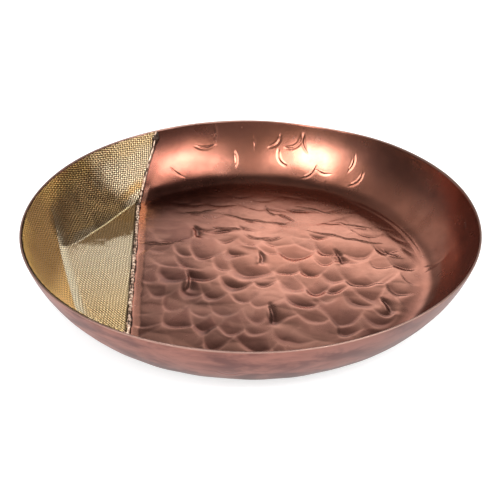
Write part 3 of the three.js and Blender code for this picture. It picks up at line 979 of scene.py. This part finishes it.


# Painted highlight on the crown of each wire and painted shade where it dips, in zones: base, back wall, left
# wall, fold and crease
def brassMaterial(name, baseShade):
    material, tree = newMaterial(name)
    n = Nodes(tree)
    tones = brassTones
    where = n.add("ShaderNodeTexCoord").outputs["Object"]
    split = n.add("ShaderNodeSeparateXYZ", {0: where}).outputs
    crown = n.attribute("crown")
    blotch = n.noise(where, 22, 3, 0.6, 0.3)
    fine = n.noise(where, 700, 2, 0.5)
    around = n.math("ARCTAN2", split["Y"], split["X"])
    around = n.plus(around, n.step(blotch, 0.2, 0.8, -0.09, 0.09))
    up = n.plus(split["Z"], n.step(blotch, 0.3, 0.7, -0.004, 0.004))
    radius = n.length(split["X"], split["Y"])
    front = n.step(split["Y"], 0.03, -0.09)
    sheetGold = n.mix(front, tones["base"], tones["frontOfBase"])
    sheetGold = n.mix(1 - baseShade, sheetGold, tones["shadedWires"])
    beyond = n.plus(split["X"], n.times(split["Y"], cloth["foldLean"]))
    beyond = n.minus(-cloth["foldOff"], beyond)
    backWall = n.times(n.step(up, 0.0045, 0.0085), n.step(split["Y"], 0.02, 0.04))
    onWall = n.math("MAXIMUM", n.step(beyond, -0.0006, 0.0012), backWall)
    gold = n.mix(onWall, sheetGold, tones["wall"])
    leftWall = n.times(n.step(split["X"], -0.138, -0.152), n.step(split["Y"], 0.085, 0.06))
    amberWall = n.mix(n.step(split["Y"], -0.070, -0.015), tones["frontLeftWall"], tones["leftWall"])
    gold = n.mix(n.times(leftWall, 0.88), gold, amberWall)
    # painted highlight along the fold near the left edge of the base
    strip = n.times(n.step(beyond, -0.009, -0.002), n.step(beyond, 0.0012, 0.0))
    strip = n.times(strip, n.step(split["Y"], 0.050, 0.020))
    gold = n.mix(strip, gold, tones["fold"])
    turn = cloth["creaseTurn"]
    off = n.addProduct(split["X"], math.cos(turn), n.times(split["Y"], math.sin(turn)))
    off = n.minus(off, cloth["creaseOff"])
    along = n.addProduct(split["X"], -math.sin(turn), n.times(split["Y"], math.cos(turn)))
    inCrease = n.step(n.math("ABSOLUTE", along), cloth["creaseHalf"] * 1.1, cloth["creaseHalf"] * 0.85)
    mottle = n.noise(where, 60, 4, 0.65, 0.4)
    wavyY = n.plus(split["Y"], n.times(n.plus(split["X"], 0.116), -0.55))
    wavyY = n.plus(wavyY, n.step(mottle, 0.3, 0.7, -0.007, 0.007))
    smoothed = n.times(n.step(wavyY, 0.030, 0.042), n.step(off, 0.0003, -0.0006))
    gold = n.mix(n.times(smoothed, 0.9), gold, tones["smoothed"])
    leaning = n.plus(around, n.times(split["Z"], 6.8))
    leaning = n.plus(leaning, n.step(mottle, 0.3, 0.7, -0.02, 0.02))
    dark = n.times(n.step(around, 2.24, 2.50), n.step(leaning, 3.15, 3.04))
    dark = n.times(n.times(dark, n.step(off, 0.0004, 0.0014)), n.step(up, 0.080, 0.040))
    dark = n.times(dark, n.step(mottle, 0.25, 0.60, 1.0, 0.72))
    gold = n.mix(n.times(dark, 0.95), gold, tones["dark"])
    fromSeam = n.minus(around, seamCrossing(baseRadius, 1) - seam["backTurn"] * 0.6)
    pale = n.times(n.step(fromSeam, 0.24, 0.06), n.step(up, 0.008, 0.016))
    pale = n.times(pale, n.step(split["Y"], 0.0, 0.02))
    gold = n.mix(n.times(pale, 0.9), gold, tones["pale"])
    # painted highlight along the crease line
    crease = n.times(n.step(n.math("ABSOLUTE", off), 0.0010, 0.0003), inCrease)
    gold = n.mix(crease, gold, tones["crease"])
    amber = n.times(n.step(around, 3.05, 2.85), n.step(up, 0.030, 0.042))
    gold = n.mix(n.times(amber, 0.4), gold, tones["amber"])
    toSeam = n.addProduct(split["X"], -math.cos(seam["skew"]), -seam["offset"])
    toSeam = n.addProduct(split["Y"], -math.sin(seam["skew"]), toSeam)
    # dark flux stain along the cloth's edge at the seam, with painted shade for the gap beside the beads
    fluxAndGapShade = n.times(n.step(toSeam, 0.0034, 0.0018), n.step(radius, 0.144, 0.142))
    gold = n.mix(n.times(fluxAndGapShade, 0.85), gold, tones["fluxAndGapShade"])
    # painted shade where each wire dips under its neighbour, and painted highlight on its crown
    low = n.mix(n.step(fine, 0.3, 0.7), tones["low"], tones["paleDipShade"])
    low = n.mix(n.times(smoothed, 0.8), low, tones["smoothedDipShade"])
    lifted = n.addProduct(onWall, 0.1, crown)
    lifted = n.addProduct(dark, -0.55, lifted)
    lifted = n.addProduct(smoothed, 0.5, lifted)
    onCrown = n.step(lifted, -0.2, 0.62)
    colour = n.mix(onCrown, low, gold)
    rough = n.plus(n.times(fine, 0.12), 0.26)
    bump = n.add("ShaderNodeBump", {"Height": fine, "Strength": 0.2, "Distance": 0.0001})
    shader = n.add("ShaderNodeBsdfPrincipled", {
        "Base Color": colour, "Roughness": rough, "Metallic": 0.66, "Normal": bump.outputs[0]})
    n.add("ShaderNodeOutputMaterial", {"Surface": shader.outputs[0]})
    return material


# the warp wires on the base get a darker copy of the brass: painted shade on that family of wires
brass = {"warp": brassMaterial("brassWarp", 0.62), "weft": brassMaterial("brassWeft", 1.0)}
weave = weaveTree()
for place, guide in (("Base", baseGuide()), ("Wall", wallGuide())):
    for label, other, side in (("warp", "weft", 1.0), ("weft", "warp", -1.0)):
        wires = grow(label + place, guide, weave, {
            "Pitch": cloth["pitch"], "Width": cloth["width"][label], "Thickness": cloth["wire"],
            "Wave": cloth["wave"], "Angle": cloth["angle"][label], "Other Angle": cloth["angle"][other],
            "Side": side, "Reach": 0.21, "Span": cloth["uvSpan"], "Seed": cloth["seed"],
            "Material": brass[label]})
        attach(wires, "root")
        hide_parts("brass_wire_cloth")
        print(wires.name, len(wires.data.polygons), "faces")
    bpy.data.objects.remove(guide)

seamPieces = {
    "beads": {"Pitch": 0.0044, "Size": 0.00140, "Rib": 0.00085, "Rib Wobble": 0.0006, "Stretch": 1.5},
    "wallWire": {"Pitch": 0.0068, "Size": 0.00110, "Rib": 0.00070, "Rib Wobble": 0.0006, "Stretch": 4.0},
    "bendSolder": (0.0026, 0.0019, 0.0034),
    "rimSolder": (0.0038, 0.0023, 0.0052),
    "rimSolderDrop": 0.0054,
    "seed": 5,
}
sheetMiddle = dish["sheet"] / 2
underCloth = sheetMiddle + cloth["gap"]


# Points of the seam up one side of the wall, from the base's edge to a distance below the lip
def seamUpWall(side, lift, rimDrop, steps=28):
    radius, height, slope = wallLine(lift, 16, 60)
    along = np.concatenate([[0], np.cumsum(np.hypot(np.diff(radius), np.diff(height)))])
    wanted = np.linspace(0, along[-1] - rimDrop, steps)
    radius, height = np.interp(wanted, along, radius), np.interp(wanted, along, height)
    angle = seamAngle(radius, side)
    return np.stack([radius * np.cos(angle), radius * np.sin(angle), height], axis=1)


def seamOnBase(lift, steps=60):
    front, back = [baseRadius * np.array([math.cos(a), math.sin(a)])
                   for a in (seamCrossing(baseRadius, -1), seamCrossing(baseRadius, 1))]
    share = np.linspace(0, 1, steps)[1:-1, None]
    plan = front + (back - front) * share
    return np.concatenate([plan, np.full((len(plan), 1), sheetMiddle + lift)], axis=1)


def pathGuide(name, points):
    data = bpy.data.meshes.new(name)
    data.from_pydata(points.tolist(), [(i, i + 1) for i in range(len(points) - 1)], [])
    return addObject(name, data)


# A thin rib of solder along the path, with uneven beads strung on it
def beadTree():
    tree = bpy.data.node_groups.new("solderBeads", "GeometryNodeTree")
    treeSockets(tree, {"Pitch": "Float", "Size": "Float", "Rib": "Float", "Rib Wobble": "Float",
                       "Stretch": "Float", "Seed": "Int", "Material": "Material", "Rib Material": "Material"})
    n = Nodes(tree)
    given = n.add("NodeGroupInput").outputs
    path = n.add("GeometryNodeMeshToCurve", {"Mesh": given["Geometry"]}).outputs[0]
    spots = n.add("GeometryNodeResampleCurve", {"Curve": path, "Length": given["Pitch"]},
                  mode="LENGTH").outputs[0]
    tangent = n.add("GeometryNodeInputTangent").outputs[0]
    turned = n.add("FunctionNodeAlignRotationToVector", {"Vector": tangent}, axis="X").outputs[0]
    long = n.times(given["Size"], given["Stretch"])
    small = n.add("ShaderNodeCombineXYZ", {"X": n.times(long, 0.75),
                                           "Y": n.times(given["Size"], 0.75),
                                           "Z": n.times(given["Size"], 0.6)}).outputs[0]
    large = n.add("ShaderNodeCombineXYZ", {"X": n.times(long, 1.35),
                                           "Y": n.times(given["Size"], 1.15),
                                           "Z": given["Size"]}).outputs[0]
    size = n.add("FunctionNodeRandomValue", {0: small, 1: large, "Seed": given["Seed"]},
                 data_type="FLOAT_VECTOR").outputs[0]
    shift = n.add("FunctionNodeRandomValue", {0: (-0.0003, -0.0002, -0.0003), 1: (0.0003, 0.0002, 0.0002),
                                              "Seed": n.plus(given["Seed"], 3.0)},
                  data_type="FLOAT_VECTOR").outputs[0]
    spots = n.add("GeometryNodeSetPosition", {"Geometry": spots, "Offset": shift}).outputs[0]
    ball = n.add("GeometryNodeMeshIcoSphere", {"Radius": 1.0, "Subdivisions": 3}).outputs["Mesh"]
    beads = n.add("GeometryNodeInstanceOnPoints", {"Points": spots, "Instance": ball, "Rotation": turned,
                                                   "Scale": size}).outputs[0]
    beads = n.add("GeometryNodeRealizeInstances", {"Geometry": beads}).outputs[0]
    fineSteps = n.add("GeometryNodeResampleCurve", {"Curve": path, "Length": 0.0006}, mode="LENGTH").outputs[0]
    place = n.add("GeometryNodeInputPosition").outputs[0]
    wobble = n.add("ShaderNodeTexNoise", {"Vector": place, "Scale": 190.0, "Detail": 1.0}).outputs["Color"]
    wobble = n.add("ShaderNodeVectorMath", {0: wobble, 1: (0.5, 0.5, 0.5)}, operation="SUBTRACT").outputs[0]
    wobble = n.add("ShaderNodeVectorMath", {0: wobble, "Scale": given["Rib Wobble"]},
                   operation="SCALE").outputs[0]
    fineSteps = n.add("GeometryNodeSetPosition", {"Geometry": fineSteps, "Offset": wobble}).outputs[0]
    ring = n.add("GeometryNodeCurvePrimitiveCircle", {"Resolution": 8, "Radius": given["Rib"]}).outputs[0]
    rib = n.add("GeometryNodeCurveToMesh", {"Curve": fineSteps, "Profile Curve": ring,
                                            "Fill Caps": True}).outputs[0]
    rib = n.add("GeometryNodeSetMaterial", {"Geometry": rib, "Material": given["Rib Material"]}).outputs[0]
    beads = n.add("GeometryNodeSetMaterial", {"Geometry": beads, "Material": given["Material"]}).outputs[0]
    joined = n.add("GeometryNodeJoinGeometry")
    tree.links.new(rib, joined.inputs[0])
    tree.links.new(beads, joined.inputs[0])
    lumps = n.add("ShaderNodeTexNoise", {"Vector": place, "Scale": 900.0, "Detail": 2.0}).outputs["Fac"]
    lumps = n.times(n.minus(lumps, 0.5), 0.00055)
    normal = n.add("GeometryNodeInputNormal").outputs[0]
    lumps = n.add("ShaderNodeVectorMath", {0: normal, "Scale": lumps}, operation="SCALE").outputs[0]
    shaped = n.add("GeometryNodeSetPosition", {"Geometry": joined.outputs[0], "Offset": lumps}).outputs[0]
    shaped = n.add("GeometryNodeRealizeInstances", {"Geometry": shaped}).outputs[0]
    n.add("NodeGroupOutput", {0: shaped})
    return tree


def solderMaterial(name, bright, dark, scale, metal, roughness):
    material, tree = newMaterial(name)
    n = Nodes(tree)
    where = n.add("ShaderNodeTexCoord").outputs["Object"]
    stain = n.noise(where, scale, 3, 0.6, 0.3)
    fine = n.noise(where, scale * 5, 2, 0.5)
    colour = n.mix(n.step(stain, 0.40, 0.62), bright, dark)
    rough = n.plus(n.times(fine, 0.2), roughness)
    bump = n.add("ShaderNodeBump", {"Height": fine, "Strength": 0.4, "Distance": 0.0002})
    shader = n.add("ShaderNodeBsdfPrincipled", {
        "Base Color": colour, "Roughness": rough, "Metallic": metal, "Normal": bump.outputs[0]})
    n.add("ShaderNodeOutputMaterial", {"Surface": shader.outputs[0]})
    return material


def solderLump(name, size, at, along, seed, material):
    inward = np.array([-at[0], -at[1], 0.0])
    inward /= np.linalg.norm(inward)
    across = np.cross(along, inward)
    across /= np.linalg.norm(across)
    off = np.cross(along, across)
    rings, sides = 28, 40
    points, faces = [], []
    for i in range(rings + 1):
        polar = math.pi * i / rings
        for k in range(sides if 0 < i < rings else 1):
            turn = 2 * math.pi * k / sides
            way = Vector((math.sin(polar) * math.cos(turn), math.sin(polar) * math.sin(turn), math.cos(polar)))
            swell = 0.86 + 0.34 * noise.noise(way * 1.6 + Vector((seed, 0, 0))) + 0.12 * noise.noise(way * 4.5)
            local = swell * np.array(size) * np.array(way)
            point = at + across * local[0] + off * local[1] + along * local[2]
            points.append(tuple(point))
    for i in range(rings):
        for k in range(sides):
            here = 0 if i == 0 else 1 + (i - 1) * sides
            below = 1 + i * sides
            nextK = (k + 1) % sides
            if i == 0:
                faces.append((0, below + k, below + nextK))
            elif i == rings - 1:
                faces.append((here + k, len(points) - 1, here + nextK))
            else:
                faces.append((here + k, below + k, below + nextK, here + nextK))
    data = bpy.data.meshes.new(name)
    data.from_pydata(points, [], faces)
    data.shade_smooth()
    data.materials.append(material)
    return addObject(name, data)


silver = solderMaterial("seamSilver", (0.76, 0.58, 0.44, 1), (0.30, 0.17, 0.12, 1), 420, 0.5, 0.28)
# the dark rib under the beads: flux stain, and painted shade in the gap along the beads
fluxAndGapShade = solderMaterial("seamFlux", (0.13, 0.070, 0.045, 1), (0.05, 0.030, 0.022, 1), 300, 0.7, 0.36)
burntMetal = solderMaterial("burntSolder", (0.10, 0.066, 0.050, 1), (0.035, 0.025, 0.022, 1), 260, 0.8, 0.34)
beadLift = underCloth + seam["beadRadius"]
wireLift = underCloth + seam["wireRadius"]
beadPath = np.concatenate([
    seamUpWall(-1, beadLift, seam["rimDrop"])[::-1],
    seamOnBase(beadLift),
    seamUpWall(1, beadLift, seam["rimDrop"])[:1],
])
wirePath = seamUpWall(1, wireLift, seam["rimDrop"] + 0.001)[1:]
beads = beadTree()
for name, path, node, values in (
    ("seamBeads", beadPath, "base_seam_bead", seamPieces["beads"]),
    ("wallWire", wirePath, "back_wall_seam_wire", seamPieces["wallWire"]),
):
    guide = pathGuide(name + "Guide", path)
    piece = grow(name, guide, beads, {**values, "Seed": seamPieces["seed"], "Material": silver,
                                      "Rib Material": fluxAndGapShade})
    bpy.data.objects.remove(guide)
    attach(piece, "root")
    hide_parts(node)
    print(name, len(piece.data.polygons), "faces")

backSeam = seamUpWall(1, wireLift, 0.0, 40)
rimSeam = seamUpWall(1, underCloth, seamPieces["rimSolderDrop"])
for name, size, at, along, node in (
    ("bendLump", seamPieces["bendSolder"], backSeam[1], backSeam[2] - backSeam[0], "bend_solder"),
    ("rimLump", seamPieces["rimSolder"], rimSeam[-1], rimSeam[-1] - rimSeam[-2], "rim_solder"),
):
    piece = solderLump(name, size, at, along / np.linalg.norm(along), len(name), burntMetal)
    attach(piece, "root")
    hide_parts(node)
    print(name, len(piece.data.polygons), "faces")
